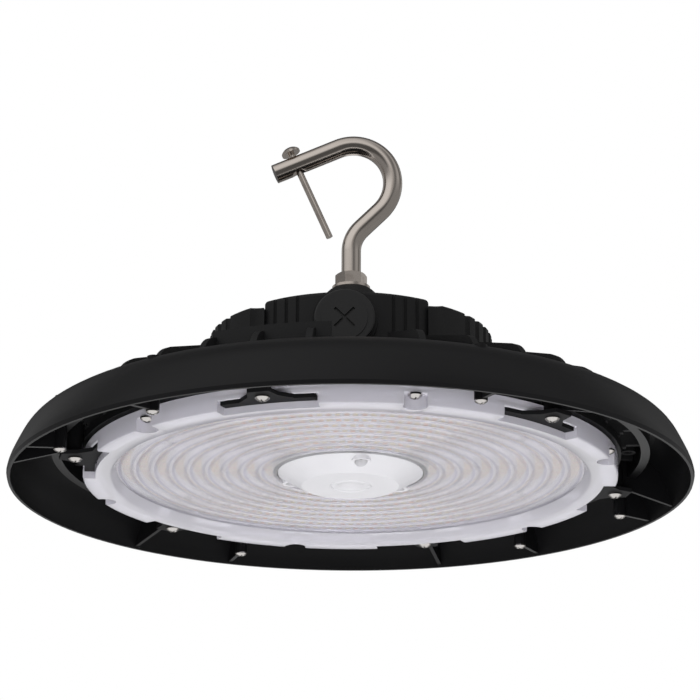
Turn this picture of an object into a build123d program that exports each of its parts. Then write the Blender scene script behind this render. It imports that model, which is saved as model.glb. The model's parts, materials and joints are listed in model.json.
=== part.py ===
from build123d import *
from collections import namedtuple
import math
import os

# High bay light, hung from a bent-rod hook. Millimetres, +Z up.
# Origin: centre of the plane that the shroud's bottom lip lies in.
# The side entry with the blanking plug faces -Y. Angles are in degrees, anticlockwise from +X.

# Clearances, gaskets, and threads by their outer diameter
FIT = 0.1
CLEAR = 0.3
GASKET_T = 1.4
M3 = 3.0
M35 = 3.5
M4 = 4.0

# Pan-head screws: thread, length under the head, diameter and height of the head
Screw = namedtuple("Screw", "size length head_dia head_h")
POST_SCREW = Screw(M3, 12.0, 6.2, 1.8)
CLIP_SCREW = Screw(M35, 13.0, 7.0, 2.3)
LENS_SCREW = Screw(M35, 8.0, 7.0, 2.3)
COVER_SCREW = Screw(M3, 9.0, 5.6, 1.8)
BOARD_SCREW = Screw(M3, 4.8, 5.0, 1.4)
SHROUD_SCREW = Screw(M4, 8.5, 7.6, 2.2)
DRIVER_SCREW = Screw(M3, 8.0, 5.6, 1.8)
HOLE_OVER_LEN = 2.0

# Shroud: from its rim inwards come the curved side, a flange and the inner ring wall
SHROUD_RIM_R = 172.2
SHROUD_WALL = 2.4
LIP_FLAT = 1.4
SIDE_W = 15.0
FLANGE_W = 11.3
RING_WALL_T = 4.5
RING_WALL_Z = 14.5
RING_WALL_IN_R = SHROUD_RIM_R - SIDE_W - FLANGE_W
RING_WALL_OUT_R = RING_WALL_IN_R + RING_WALL_T
SHROUD_INNER_R = RING_WALL_IN_R - 1.9
SHROUD_TOP_Z = 30.9
FLANGE_UNDER_Z = 27.6
GUSSET_T = 2.0
GUSSET_END_Z = 0.8

# The shroud's curved side, from the lip up and inwards: share of its width, height
SIDE_CURVE = [(0, 2.0), (0.08, 6.5), (0.227, 11.5), (0.387, 16.5), (0.6, 21.5), (1.0, 26.4)]

# Posts that carry an accessory under the shroud
POST_R = RING_WALL_OUT_R + 2.5
POST_DIA = 6.4
POST_END_Z = 2.1
POST_ANGLES = [25.5, 55.5, 115.5, 205.5, 235.5, 295.5]

# Lens clips and their posts
CLIP_COUNT = 6
CLIP_PHASE = 15.5
CLIP_R = RING_WALL_IN_R - 6.5
CLIP_POST_DIA = 8.4
CLIP_T = 2.0
CLIP_BOTTOM_Z = 5.8
CLIP_ARM_R = CLIP_R - 5.9
CLIP_INNER_R = CLIP_ARM_R - 5.2
CLIP_ARM_HALF_ANGLE = 10.1
CLIP_SHOULDER_HALF_W = 13.5
CLIP_WAIST_HALF_W = 7.4
CLIP_END_R = CLIP_R + 7.4
CLIP_END_HALF_W = 5.2

# Lens: ring lenses between its bore and its rim
LENS_R = CLIP_R - 5.1
LENS_BOTTOM_Z = 2.5
LENS_FACE_Z = 7.0
LENS_INSIDE_Z = 9.6
LENS_BORE_R = 37.0
LENS_WALL = 2.4
LENS_RIM_W = 16.88
LENS_STEP_W = 3.8
LENS_FILLET = 0.8
RING_LENS_COUNT = 9
RING_LENS_FIRST_R = LENS_BORE_R - 0.265
RING_LENS_PITCH = (LENS_R - LENS_RIM_W - RING_LENS_FIRST_R) / RING_LENS_COUNT
RING_LENS_DROP = 1.9
SEAL_RIB_OUT_R = LENS_R - 7.9
SEAL_RIB_IN_R = SEAL_RIB_OUT_R - 5.4
LENS_SCREW_R = LENS_R - 2.1
LENS_SCREW_SEAT_Z = 8.6
LENS_SCREW_NOTCH_R = 5.6
CLIP_POCKET_GAP = 0.4
RIM_POCKET_GAP = 1.2
RIM_POCKET_FLOOR = 2.2

# Heat sink
PLATE_R = LENS_R + 1.7
PLATE_BOTTOM_Z = 14.0
PLATE_T = 4.0
FIN_COUNT = 34
FIN_T = 3.2
LOW_FIN_DROP = 7.0
FIN_ROOT_Z = 43.0
FIN_INNER_TOP_Z = 54.8
FIN_CREST_R = SHROUD_INNER_R - 9.5
FIN_CREST_Z = 39.4
FIN_END_TOP_Z = 31.6
FIN_END_GAP = 0.5
VENT_FIN_Z = 20.5
FIN_NUB_W = 1.8
FIN_NUB_GAP = 0.8
FIN_NUB_DROP = 1.2
PILLAR_DIA = 8.4
SHROUD_EAR_R = 5.4
EAR_T = 2.2
SHROUD_SCREW_GAPS = [3, 9, 14, 20, 26, 31]
HEAD_RECESS = 2.6
BLIND_FLOOR = 0.6

# Low curved wall between the fins, left of the side entry
GUARD_OUT_R = FIN_CREST_R - 1.5
GUARD_T = 3.0
GUARD_TOP_Z = 43.0
GUARD_FROM = 243.6
GUARD_TO = 268.6

# Light board and chips
BOARD_R = SEAL_RIB_IN_R - 2.0
BOARD_T = 1.6
BOARD_HOLE_R = 12.0
CHIP_LONG = 3.5
CHIP_WIDE = 2.8
CHIP_T = 0.8
CHIP_PITCH = 13.0
BOARD_SCREW_COUNT = 6

# Centre cover
COVER_GAP = 0.4
COVER_FACE_R = LENS_BORE_R - 12.0
COVER_FACE_Z = 0.5
COVER_WALL = 2.0
COVER_SCREW_R = LENS_BORE_R - 5.4
COVER_SCREW_PHASE = 42.0
COVER_BOSS_R = 4.8
COVER_BOSS_Z = 4.6
COVER_SCREW_SEAT_Z = 7.4
COVER_DISH_R = 20.0
COVER_DISH_DEPTH = 1.4
COVER_BEAD_R = 10.0
COVER_BEAD_T = 1.2
COVER_BEAD_H = 0.4

# Driver housing
HUB_R = 72.0
HUB_TOP_Z = 77.5
HUB_CAVITY_R = HUB_R - 10.0
HUB_CAVITY_TOP_Z = 73.5
STRIP_HALF_W = 40.5
STRIP_R = HUB_R - 6.0
STRIP_TOP_Z = 81.5
STRIP_GROOVE_IN = [16.9, 11.2, 5.5]
STRIP_GROOVE_W = 1.7
STRIP_GROOVE_DEPTH = 1.5
SCOOP_R = 10.0
FLUTE_COUNT = 10
FLUTE_START = 56.0
FLUTE_PITCH = 7.6
FLUTE_DIA = 4.6
LUG_BOTTOM_Z = 40.0
LUG_TOP_Z = 50.0
LUG_DIA = 9.6
LUG_R = HUB_R + 4.5
LUG_THREAD = 6.5
LUG_GAPS = [2, 4]
FIN_ROOT_R = HUB_R + 2.0
FIN_INNER_R = HUB_R + 11.0

# Neck, hook and pin
NECK_TOP_Z = 105.1
NECK_TOP_R = 9.9
NECK_FOOT_R = 33.5
ROD_DIA = 10.0
HOOK_TURN = 2.5
HOOK_FOOT_Z = 92.0
HOOK_BEND_R = 17.5
HOOK_SLOPE = 45.0
HOOK_SIDE_R = 22.2
HOOK_TOP_R = 20.2
HOOK_TOP_FROM = 20.0
HOOK_CENTRE_X = -0.8
HOOK_CENTRE_Z = 164.0
HOOK_TIP_SLOPE = 23.65
HOOK_TIP_LEN = 35.8
WASHER_T = 1.5
WASHER_R = 9.7
NUT_AF = 14.3
NUT_H = 7.0
NUT_TURN = 70.4
PIN_DIA = 3.5
PIN_LEN = 50.4
PIN_HEAD_DIA = 9.8
PIN_HEAD_H = 3.3
PIN_HEAD_LIFT = 2.0
PIN_FROM_TIP = 12.2
PIN_SINK_R = 5.0
PIN_SINK_DEPTH = 3.0

# Side entry
ENTRY_Z = 65.5
ENTRY_BOSS_R = 16.0
ENTRY_FACE_Y = STRIP_R + 3.0
ENTRY_BORE_R = 11.1
PLUG_R = 14.9
PLUG_HEAD_T = 2.5
PLUG_STUB_R = ENTRY_BORE_R - FIT
PLUG_STUB_LEN = 10.0
PLUG_WALL = 2.5
PLUG_RAISE = 0.5
PLUG_SLOT_LEN = 13.5
PLUG_SLOT_W = 1.4
PLUG_SLOT_DEPTH = 1.2
PLUG_SEAL_T = 1.0

# Driver and leads
DRIVER_BOARD_R = HUB_CAVITY_R - 6.0
DRIVER_BOARD_Z = 30.0
DRIVER_SCREW_R = DRIVER_BOARD_R - 8.0
DRIVER_SCREW_ANGLES = [36, 126, 216, 306]
STANDOFF_DIA = 7.0
TRANSFORMER_SIZE = (34.0, 26.0, 24.0)
TRANSFORMER_LEG = 5.0
TRANSFORMER_XY = (-16, 4)
CAN_R = 8.0
CAN_H = 30.0
CAN_XY = [(16, 26), (34, 14), (34, -8)]
CHOKE_R = 12.0
CHOKE_H = 14.0
CHOKE_XY = (10, -24)
TERMINAL_SIZE = (12.0, 8.0, 6.0)
LEAD_HOLE_R = 7.0
LEAD_DIA = 2.2
LEAD_CORE_DIA = 1.5
LEAD_X = 2.6
LEAD_BEND_R = 2.6
GROMMET_LIP_W = 2.0
GROMMET_LIP_T = 1.2

# Places worked out from the sizes above
PLATE_TOP_Z = PLATE_BOTTOM_Z + PLATE_T
LENS_TOP_Z = PLATE_BOTTOM_Z - GASKET_T
CLIP_TOP_Z = CLIP_BOTTOM_Z + CLIP_T
CLIP_POST_TOP_Z = FLANGE_UNDER_Z + 1
BOARD_BOTTOM_Z = PLATE_BOTTOM_Z - BOARD_T
BORE_TOP_Z = BOARD_BOTTOM_Z - GASKET_T
HUB_BOTTOM_Z = PLATE_TOP_Z + GASKET_T
CLIP_ANGLES = [CLIP_PHASE + 360 / CLIP_COUNT * i for i in range(CLIP_COUNT)]
LENS_SCREW_ANGLES = [a + 180 / CLIP_COUNT for a in CLIP_ANGLES]
FIN_PITCH = 360 / FIN_COUNT
FIN_ANGLES = [270 + FIN_PITCH * (i + 0.5) for i in range(FIN_COUNT)]
SHROUD_SCREW_ANGLES = [270 + FIN_PITCH * gap for gap in SHROUD_SCREW_GAPS]
SHROUD_SCREW_R = SHROUD_INNER_R - 3.0
HOUSING_SCREW_ANGLES = [
    base + side * FIN_PITCH * gap for base in (270, 90) for side in (-1, 1) for gap in LUG_GAPS]
HOUSING_SCREW = Screw(M4, LUG_BOTTOM_Z + LUG_THREAD - PLATE_BOTTOM_Z - HEAD_RECESS, 7.6, 2.2)
COVER_SCREW_ANGLES = [COVER_SCREW_PHASE + 120 * i for i in range(3)]
CUSP_RADII = [RING_LENS_FIRST_R + RING_LENS_PITCH * k for k in range(RING_LENS_COUNT + 1)]
SIDE_POINTS = [(SHROUD_RIM_R - share * SIDE_W, z) for share, z in SIDE_CURVE]


def at(angle, radius, z=0.0):
    """Place at an angle and a radius about the lamp's axis, with local X pointing outwards."""
    return Rot(0, 0, angle) * Pos(radius, 0, z)


def upright_face(points):
    """A face in the XZ plane from (radius, height) points."""
    return Plane.XZ * make_face(Polyline(*points, close=True))


def turned(points, arc=360):
    """A body turned about the Z axis from a closed outline of (radius, height) points."""
    return revolve(upright_face(points), Axis.Z, arc)


def disc(radius, z0, z1):
    """A round plate between two heights."""
    return Pos(0, 0, z0) * extrude(Circle(radius), z1 - z0)


def ring(outer, inner, z0, z1):
    """A flat ring between two heights."""
    return Pos(0, 0, z0) * extrude(Circle(outer) - Circle(inner), z1 - z0)


def ring_sector(outer, inner, z0, z1, start, stop):
    """Part of a flat ring, from one angle to another."""
    box = [(inner, z0), (outer, z0), (outer, z1), (inner, z1)]
    return Rot(0, 0, start) * turned(box, stop - start)


def rib(points, thickness):
    """A flat rib in the XZ plane, centred on it."""
    return extrude(upright_face(points), thickness / 2, both=True)


def fuse(parts):
    """One solid from many."""
    parts = list(parts)
    return parts[0].fuse(*parts[1:])


def pan_screw(screw):
    """Pan-head screw with a cross recess. The head hangs below Z = 0 and the shank points up."""
    head_r, shank_r = screw.head_dia / 2, screw.size / 2
    rim = 0.35 * screw.head_h
    outline = make_face([
        Line((0, screw.length), (0, -screw.head_h)),
        ThreePointArc((0, -screw.head_h), (0.62 * head_r, -0.86 * screw.head_h), (head_r, -rim)),
        Line((head_r, -rim), (head_r, 0)),
        Line((head_r, 0), (shank_r, 0)),
        Line((shank_r, 0), (shank_r, screw.length)),
        Line((shank_r, screw.length), (0, screw.length)),
    ])
    body = revolve(Plane.XZ * outline, Axis.Z)
    slot = Pos(0, 0, -screw.head_h) * Box(0.55 * screw.head_dia, 0.22 * screw.size, 0.9 * screw.head_h)
    return body - slot - Rot(0, 0, 90) * slot


def turned_over(screw):
    """Pan-head screw whose head stands above Z = 0 and whose shank points down."""
    return Rot(180, 0, 0) * pan_screw(screw)


def screw_hole(screw, seat_z, from_z):
    """A hole for a screw that points up from its seat, cut from a height below its thread."""
    return disc(screw.size / 2 + FIT, from_z - 1, seat_z + screw.length + HOLE_OVER_LEN)


def group(shape, places):
    """Identical pieces, one at each place, kept as separate solids."""
    return Compound([place * shape for place in places])


# Shroud


def shroud_outline():
    """Closed outline of the shroud's wall, flange and inner ring wall."""
    skin = Spline(*SIDE_POINTS, (SHROUD_INNER_R, SHROUD_TOP_Z))
    inner = [(r - SHROUD_WALL, z - 0.25 * SHROUD_WALL) for r, z in SIDE_POINTS[1:5]]
    lip_in = (SHROUD_RIM_R - SHROUD_WALL, SIDE_POINTS[0][1])
    lip_mid = SHROUD_RIM_R - SHROUD_WALL / 2
    inner_skin = Spline(lip_in, *inner, (SIDE_POINTS[5][0] - 3.3, SIDE_POINTS[5][1] - 0.4 * SHROUD_WALL))
    under = inner_skin @ 1
    return make_face([
        skin,
        Line((SHROUD_INNER_R, SHROUD_TOP_Z), (SHROUD_INNER_R, FLANGE_UNDER_Z)),
        Line((SHROUD_INNER_R, FLANGE_UNDER_Z), (RING_WALL_IN_R, FLANGE_UNDER_Z)),
        Line((RING_WALL_IN_R, FLANGE_UNDER_Z), (RING_WALL_IN_R, RING_WALL_Z)),
        Line((RING_WALL_IN_R, RING_WALL_Z), (RING_WALL_OUT_R, RING_WALL_Z)),
        Line((RING_WALL_OUT_R, RING_WALL_Z), (RING_WALL_OUT_R, under.Y)),
        Line((RING_WALL_OUT_R, under.Y), (under.X, under.Y)),
        inner_skin,
        ThreePointArc(lip_in, (lip_in[0] + 0.15 * SHROUD_WALL, 0.3 * lip_in[1]), (lip_mid - LIP_FLAT / 2, 0)),
        Line((lip_mid - LIP_FLAT / 2, 0), (lip_mid + LIP_FLAT / 2, 0)),
        ThreePointArc(
            (lip_mid + LIP_FLAT / 2, 0),
            (SHROUD_RIM_R - 0.15 * SHROUD_WALL, 0.3 * lip_in[1]),
            (SHROUD_RIM_R, lip_in[1]),
        ),
    ])


def gusset(start_r, start_z, flat_to_r):
    """Upright rib from a post to the shroud's wall, whose lower edge slopes down to the lip."""
    wall = [(r - SHROUD_WALL / 2, z) for r, z in SIDE_POINTS]
    foot = (wall[0][0], GUSSET_END_Z)
    points = [(start_r, start_z), (flat_to_r, start_z), foot] + wall + [(start_r, wall[-1][1])]
    return rib(points, GUSSET_T)


def make_outer_shroud():
    pieces = [revolve(Plane.XZ * shroud_outline(), Axis.Z)]
    for angle in POST_ANGLES:
        pieces.append(at(angle, POST_R) * disc(POST_DIA / 2, POST_END_Z, FLANGE_UNDER_Z + 1))
        pieces.append(Rot(0, 0, angle) * gusset(POST_R, POST_END_Z, POST_R + POST_DIA / 2 + CLEAR))
    for angle in CLIP_ANGLES:
        pieces.append(at(angle, CLIP_R) * disc(CLIP_POST_DIA / 2, CLIP_TOP_Z, CLIP_POST_TOP_Z))
        pieces.append(Rot(0, 0, angle) * gusset(CLIP_R, CLIP_TOP_Z, CLIP_END_R))
    for angle in SHROUD_SCREW_ANGLES:
        pieces.append(at(angle, SHROUD_SCREW_R) * disc(SHROUD_EAR_R, FLANGE_UNDER_Z, SHROUD_TOP_Z))
    shroud = fuse(pieces)
    for angle in POST_ANGLES:
        shroud -= at(angle, POST_R) * screw_hole(POST_SCREW, POST_END_Z, POST_END_Z)
    for angle in CLIP_ANGLES:
        shroud -= at(angle, CLIP_R) * screw_hole(CLIP_SCREW, CLIP_BOTTOM_Z, CLIP_TOP_Z)
    for angle in SHROUD_SCREW_ANGLES:
        shroud -= at(angle, SHROUD_SCREW_R) * disc(M4 / 2 + FIT, FLANGE_UNDER_Z - 1, SHROUD_TOP_Z + 1)
        shroud -= at(angle, SHROUD_SCREW_R) * disc(M4 + CLEAR, FLANGE_UNDER_Z + EAR_T, SHROUD_TOP_Z + 5)
    return shroud


# Heat sink


def fin(drop=0.0, bar=True):
    """One radial fin, with its rounded outer end and the lower bar that crosses the vent.

    A fin beside a clip post has no bar: it passes over the post.
    """
    end_r = SHROUD_INNER_R - FIN_END_GAP
    end_z = max(FIN_END_TOP_Z - drop, FLANGE_UNDER_Z + 1)
    crest_z = FIN_CREST_Z - drop
    crest = Line((FIN_INNER_R, FIN_INNER_TOP_Z - drop), (FIN_CREST_R, crest_z))
    nose = ThreePointArc(
        (FIN_CREST_R, crest_z),
        ((FIN_CREST_R + end_r) / 2 + 0.8, (crest_z + end_z) / 2 + 1.2),
        (end_r, end_z),
    )
    over_post = [
        (end_r, CLIP_POST_TOP_Z + CLEAR),
        (CLIP_R - CLIP_POST_DIA / 2 - 1, CLIP_POST_TOP_Z + CLEAR),
        (CLIP_R - CLIP_POST_DIA / 2 - 1, PLATE_TOP_Z + 0.5),
    ]
    with_bar = [
        (end_r, FLANGE_UNDER_Z),
        (RING_WALL_IN_R - CLEAR, FLANGE_UNDER_Z),
        (RING_WALL_IN_R - CLEAR, VENT_FIN_Z),
        (PLATE_R + FIN_NUB_GAP + FIN_NUB_W, VENT_FIN_Z),
        (PLATE_R + FIN_NUB_GAP + FIN_NUB_W, VENT_FIN_Z - FIN_NUB_DROP),
        (PLATE_R + FIN_NUB_GAP, VENT_FIN_Z - FIN_NUB_DROP),
        (PLATE_R + FIN_NUB_GAP, PLATE_TOP_Z + 0.5),
    ]
    corners = [(end_r, end_z)] + (with_bar if bar else over_post) + [
        (PLATE_R - 2, PLATE_BOTTOM_Z + 1.5),
        (FIN_ROOT_R, PLATE_BOTTOM_Z + 1.5),
        (FIN_ROOT_R, FIN_ROOT_Z),
        (FIN_INNER_R, FIN_ROOT_Z + 2),
        (FIN_INNER_R, FIN_INNER_TOP_Z - drop),
    ]
    face = make_face([crest, nose, Polyline(*corners)])
    return extrude(Plane.XZ * face, FIN_T / 2, both=True)


def beside_clip_post(angle):
    """True where a fin would touch a clip post."""
    gap = min(abs((angle - clip + 180) % 360 - 180) for clip in CLIP_ANGLES)
    return math.radians(gap) * CLIP_R < (CLIP_POST_DIA + FIN_T) / 2 + 2 * CLEAR


def make_heat_sink():
    plain, barless, low = fin(), fin(bar=False), fin(LOW_FIN_DROP)
    pieces = [disc(PLATE_R, PLATE_BOTTOM_Z, PLATE_TOP_Z)]
    for angle in FIN_ANGLES:
        kind = low if angle == FIN_ANGLES[0] else barless if beside_clip_post(angle) else plain
        pieces.append(Rot(0, 0, angle) * kind)
    pieces.append(ring_sector(
        GUARD_OUT_R, GUARD_OUT_R - GUARD_T, PLATE_BOTTOM_Z + 1, GUARD_TOP_Z, GUARD_FROM, GUARD_TO))
    for angle in HOUSING_SCREW_ANGLES:
        pieces.append(at(angle, LUG_R) * disc(PILLAR_DIA / 2, PLATE_BOTTOM_Z + 1, LUG_BOTTOM_Z))
    for angle in SHROUD_SCREW_ANGLES:
        pieces.append(at(angle, SHROUD_SCREW_R) * disc(M4, VENT_FIN_Z, FLANGE_UNDER_Z))
        pieces.append(Rot(0, 0, angle) * rib([
            (PLATE_R - 8, PLATE_BOTTOM_Z + 1), (PLATE_R, PLATE_BOTTOM_Z + 1),
            (PLATE_R + FIN_NUB_GAP, VENT_FIN_Z), (SHROUD_SCREW_R, VENT_FIN_Z),
            (SHROUD_SCREW_R, FLANGE_UNDER_Z), (PLATE_R - 8, FLANGE_UNDER_Z),
        ], FIN_T))
    for angle in DRIVER_SCREW_ANGLES:
        pieces.append(at(angle, DRIVER_SCREW_R) * disc(STANDOFF_DIA / 2, PLATE_BOTTOM_Z + 1, DRIVER_BOARD_Z))
    sink = fuse(pieces)
    blind_top_z = PLATE_TOP_Z - BLIND_FLOOR
    cuts = [disc(LEAD_HOLE_R, PLATE_BOTTOM_Z - 1, PLATE_TOP_Z + 1)]
    for angle in HOUSING_SCREW_ANGLES:
        cuts.append(at(angle, LUG_R) * disc(M4 / 2 + FIT, PLATE_BOTTOM_Z - 1, LUG_BOTTOM_Z + 1))
        cuts.append(at(angle, LUG_R) * disc(M4 + CLEAR, PLATE_BOTTOM_Z - 1, PLATE_BOTTOM_Z + HEAD_RECESS))
    for angle in CLIP_ANGLES:
        cuts.append(at(angle, CLIP_R) * disc(CLIP_POST_DIA / 2 + CLEAR, PLATE_BOTTOM_Z - 1, CLIP_POST_TOP_Z))
    for angle in LENS_SCREW_ANGLES:
        cuts.append(at(angle, LENS_SCREW_R) * disc(M35 / 2 + FIT, PLATE_BOTTOM_Z - 1, blind_top_z))
    for angle in SHROUD_SCREW_ANGLES:
        cuts.append(at(angle, SHROUD_SCREW_R) * disc(M4 / 2 + FIT, VENT_FIN_Z - 1, FLANGE_UNDER_Z + 1))
    for place in board_screw_places():
        cuts.append(place * disc(M3 / 2 + FIT, -1, PLATE_T - 0.4))
    for angle in COVER_SCREW_ANGLES:
        cuts.append(at(angle, COVER_SCREW_R) * disc(M3 / 2 + FIT, PLATE_BOTTOM_Z - 1, blind_top_z))
    for angle in DRIVER_SCREW_ANGLES:
        cuts.append(at(angle, DRIVER_SCREW_R) * disc(M3 / 2 + FIT, DRIVER_BOARD_Z - 8, DRIVER_BOARD_Z + 1))
    return sink.cut(*cuts)


# Lens


def lens_outline():
    """Section of the lens: nine ring lenses, a sloping step and the deep outer rim."""
    edges = []
    left = (LENS_BORE_R, LENS_FACE_Z)
    for radius in CUSP_RADII[1:]:
        right = (radius, LENS_FACE_Z)
        low = ((left[0] + right[0]) / 2, LENS_FACE_Z - RING_LENS_DROP)
        edges.append(ThreePointArc(left, low, right))
        left = right
    edges.append(Polyline(
        left,
        (left[0] + 2.2, LENS_BOTTOM_Z + 1.0),
        (left[0] + LENS_STEP_W, LENS_BOTTOM_Z),
        (LENS_R - LENS_FILLET, LENS_BOTTOM_Z),
        (LENS_R, LENS_BOTTOM_Z + LENS_FILLET),
        (LENS_R, LENS_TOP_Z),
        (SEAL_RIB_IN_R, LENS_TOP_Z),
        (SEAL_RIB_IN_R, LENS_INSIDE_Z),
        (LENS_BORE_R + LENS_WALL, LENS_INSIDE_Z),
        (LENS_BORE_R + LENS_WALL, BORE_TOP_Z),
        (LENS_BORE_R, BORE_TOP_Z),
        (LENS_BORE_R, LENS_FACE_Z),
    ))
    return make_face(edges)


def make_lens():
    lens = revolve(Plane.XZ * lens_outline(), Axis.Z)
    half = CLIP_ARM_HALF_ANGLE + 0.5
    notch_half = math.degrees(LENS_SCREW_NOTCH_R / LENS_SCREW_R)
    cuts = []
    for angle in CLIP_ANGLES:
        cuts.append(ring_sector(
            LENS_R + 5, CLIP_INNER_R - CLIP_POCKET_GAP, 0, CLIP_TOP_Z, angle - half, angle + half))
    for angle in LENS_SCREW_ANGLES:
        cuts.append(at(angle, LENS_SCREW_R) * disc(LENS_SCREW_NOTCH_R, 0, LENS_SCREW_SEAT_Z))
        cuts.append(at(angle, LENS_SCREW_R) * disc(M35 / 2 + FIT, 0, LENS_TOP_Z + 1))
    wall_in = LENS_R - LENS_WALL
    for angle in CLIP_ANGLES:
        near = half + RIM_POCKET_GAP
        far = 180 / CLIP_COUNT - notch_half - RIM_POCKET_GAP
        for low, high in ((near, far), (-far, -near)):
            cuts.append(ring_sector(
                wall_in, SEAL_RIB_OUT_R, LENS_BOTTOM_Z + RIM_POCKET_FLOOR, LENS_TOP_Z + 1,
                angle + low, angle + high))
    return lens.cut(*cuts)


def make_lens_gasket():
    return ring(SEAL_RIB_OUT_R - 0.6, SEAL_RIB_IN_R + 0.4, LENS_TOP_Z, PLATE_BOTTOM_Z)


def make_lens_inner_gasket():
    return ring(LENS_BORE_R + LENS_WALL - CLEAR, LENS_BORE_R + FIT, BORE_TOP_Z, BOARD_BOTTOM_Z)


# Clips


def clip_outline():
    """Bat-shaped plate seen from above: two curved arms and a body that narrows outwards."""
    spread = math.radians(CLIP_ARM_HALF_ANGLE)
    cos_end, sin_end = math.cos(spread), math.sin(spread)
    inner_end = (CLIP_INNER_R * cos_end, CLIP_INNER_R * sin_end)
    outer_end = (CLIP_ARM_R * cos_end, CLIP_ARM_R * sin_end)
    shoulder = (math.sqrt(CLIP_ARM_R ** 2 - CLIP_SHOULDER_HALF_W ** 2), CLIP_SHOULDER_HALF_W)
    arm_mid = math.atan2(shoulder[1], shoulder[0]) / 2 + spread / 2
    arm_bulge = (CLIP_ARM_R * math.cos(arm_mid), CLIP_ARM_R * math.sin(arm_mid))
    waist = (CLIP_R, CLIP_WAIST_HALF_W)
    end = (CLIP_END_R, CLIP_END_HALF_W)

    def mirror(point):
        return (point[0], -point[1])

    return make_face([
        ThreePointArc(mirror(inner_end), (CLIP_INNER_R, 0), inner_end),
        Line(inner_end, outer_end),
        ThreePointArc(outer_end, arm_bulge, shoulder),
        Line(shoulder, waist),
        Line(waist, end),
        Line(end, mirror(end)),
        Line(mirror(end), mirror(waist)),
        Line(mirror(waist), mirror(shoulder)),
        ThreePointArc(mirror(shoulder), mirror(arm_bulge), mirror(outer_end)),
        Line(mirror(outer_end), mirror(inner_end)),
    ])


def make_clip(angle):
    plate = Pos(0, 0, CLIP_BOTTOM_Z) * extrude(clip_outline(), CLIP_T)
    hole = Pos(CLIP_R, 0, 0) * disc(M35 / 2 + CLEAR, 0, CLIP_TOP_Z + 1)
    return Rot(0, 0, angle) * (plate - hole)


# Light board and chips


def board_screw_places():
    """Screw places on the underside of the plate, in the gaps between chip rings."""
    step = 360 / BOARD_SCREW_COUNT
    inner = [at(step * i, CUSP_RADII[3], PLATE_BOTTOM_Z) for i in range(BOARD_SCREW_COUNT)]
    outer = [at(step * (i + 0.5), CUSP_RADII[7], PLATE_BOTTOM_Z) for i in range(BOARD_SCREW_COUNT)]
    return inner + outer


def make_led_board():
    board = ring(BOARD_R, BOARD_HOLE_R, BOARD_BOTTOM_Z, PLATE_BOTTOM_Z)
    holes = [place * disc(M3 / 2 + FIT, -BOARD_T - 1, 1) for place in board_screw_places()]
    for angle in COVER_SCREW_ANGLES:
        holes.append(at(angle, COVER_SCREW_R) * disc(M3 / 2 + FIT, BOARD_BOTTOM_Z - 1, PLATE_BOTTOM_Z + 1))
    return board.cut(*holes)


def make_led_ring(index):
    """One ring of light chips, in the middle of its ring lens."""
    radius = (CUSP_RADII[index] + CUSP_RADII[index + 1]) / 2
    count = round(2 * math.pi * radius / CHIP_PITCH)
    chip = Box(CHIP_LONG, CHIP_WIDE, CHIP_T)
    places = [at(360 / count * i, radius, BOARD_BOTTOM_Z - CHIP_T / 2) for i in range(count)]
    return group(chip, places)


# Centre cover


def make_centre_cover():
    outer_r = LENS_BORE_R - COVER_GAP
    shoulder_z = LENS_FACE_Z + 0.2
    outside = [
        (0, COVER_FACE_Z), (COVER_FACE_R - 0.6, COVER_FACE_Z), (COVER_FACE_R + 0.6, COVER_FACE_Z + 0.6),
        (outer_r, shoulder_z), (outer_r, BOARD_BOTTOM_Z), (0, BOARD_BOTTOM_Z),
    ]
    inside = [
        (0, COVER_FACE_Z + COVER_WALL), (COVER_FACE_R - 1.2, COVER_FACE_Z + COVER_WALL),
        (outer_r - COVER_WALL, shoulder_z + 1.2), (outer_r - COVER_WALL, BOARD_BOTTOM_Z + 1),
        (0, BOARD_BOTTOM_Z + 1),
    ]
    cover = turned(outside)
    hollow = turned(inside)
    boss = disc(COVER_BOSS_R, COVER_BOSS_Z, BOARD_BOTTOM_Z)
    cover = fuse([cover - hollow] + [at(angle, COVER_SCREW_R) * boss for angle in COVER_SCREW_ANGLES])
    cuts = []
    for angle in COVER_SCREW_ANGLES:
        cuts.append(at(angle, COVER_SCREW_R) * disc(M3 + CLEAR, 0, COVER_SCREW_SEAT_Z))
        cuts.append(at(angle, COVER_SCREW_R) * disc(M3 / 2 + FIT, 0, BOARD_BOTTOM_Z + 1))
    dish = Pos(0, 0, COVER_FACE_Z + COVER_DISH_DEPTH - COVER_DISH_R) * Sphere(COVER_DISH_R)
    cover = cover.cut(dish, *cuts)
    bead = Pos(0, 0, COVER_FACE_Z + COVER_BEAD_T / 2 - COVER_BEAD_H) * Torus(COVER_BEAD_R, COVER_BEAD_T / 2)
    return cover + bead


# Driver housing


def entry_cylinder(radius, y0, y1):
    """A cylinder along Y at the side entry, from one distance in front of the axis to another."""
    return Pos(0, -y0, ENTRY_Z) * Rot(90, 0, 0) * extrude(Circle(radius), y1 - y0)


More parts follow.
